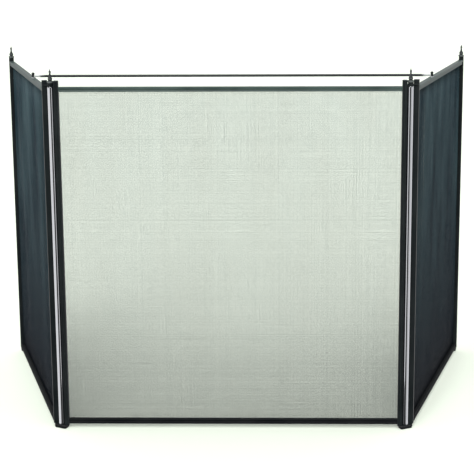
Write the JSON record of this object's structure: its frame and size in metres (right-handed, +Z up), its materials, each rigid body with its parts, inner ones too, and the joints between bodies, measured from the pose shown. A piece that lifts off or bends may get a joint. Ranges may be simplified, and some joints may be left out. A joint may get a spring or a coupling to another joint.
{
  "type": "folding fireplace screen",
  "caption": "Free-standing folding fireplace screen: fine wire mesh in slim black metal frames, two wings on polished hinge posts, turned finials and a lift-off stay rod.",
  "frame": {"origin": "on the floor, at the middle of the object's width and depth", "axes": "+X to the object's right seen from the room, +Y from the room toward the hearth (the wings reach that way), +Z up"},
  "size_m": [1.1842, 0.5334, 0.83],
  "materials": {
    "black_frame": "satin black enamel",
    "cast_black": "satin black",
    "polished_tube": "polished",
    "mesh_centre": "woven wire, satin",
    "mesh_wing": "woven wire, satin",
    "bright_steel": "zinc plated",
    "stay_steel": "satin black, bright at the ends"
  },
  "bodies": {
    "centre": {"centre_stile_left": "black_frame", "centre_stile_right": "black_frame", "centre_rail_top": "black_frame", "centre_rail_bottom": "black_frame", "centre_mesh": "mesh_centre", "centre_strips": "black_frame", "centre_screws": "bright_steel", "post_tube_left": "polished_tube", "post_tube_right": "polished_tube", "hinge_rod_left": "bright_steel", "hinge_rod_right": "bright_steel", "centre_lug_left": "black_frame", "centre_lug_right": "black_frame", "post_collar_left": "black_frame", "post_collar_right": "black_frame", "post_finial_left": "cast_black", "post_finial_right": "cast_black", "post_foot_left": "cast_black", "post_foot_right": "cast_black"},
    "left_wing": {"left_stile_hinge": "black_frame", "left_stile_outer": "black_frame", "left_rail_top": "black_frame", "left_rail_bottom": "black_frame", "left_mesh": "mesh_wing", "left_strips": "black_frame", "left_screws": "bright_steel", "left_lug_top": "black_frame", "left_lug_bottom": "black_frame", "left_finial": "cast_black", "left_foot": "cast_black", "left_stud": "bright_steel"},
    "right_wing": {"right_stile_hinge": "black_frame", "right_stile_outer": "black_frame", "right_rail_top": "black_frame", "right_rail_bottom": "black_frame", "right_mesh": "mesh_wing", "right_strips": "black_frame", "right_screws": "bright_steel", "right_lug_top": "black_frame", "right_lug_bottom": "black_frame", "right_finial": "cast_black", "right_foot": "cast_black", "right_stud": "bright_steel"},
    "stay": {"stay_rod": "stay_steel", "stay_cap_left": "stay_steel", "stay_cap_right": "stay_steel"}
  },
  "joints": [
    {"name": "left_wing_hinge", "type": "hinge", "parent": "centre", "child": "left_wing", "pos_m": [-0.395, -0.25379, 0], "axis": [0, 0, -1], "range_deg": [-70, 64]},
    {"name": "right_wing_hinge", "type": "hinge", "parent": "centre", "child": "right_wing", "pos_m": [0.395, -0.25379, 0], "axis": [0, 0, 1], "range_deg": [-71.5, 62.5]},
    {"name": "stay_rod_lift", "type": "slide", "parent": "centre", "child": "stay", "axis": [0, 0, 1], "range_m": [0, 0.045]}
  ]
}
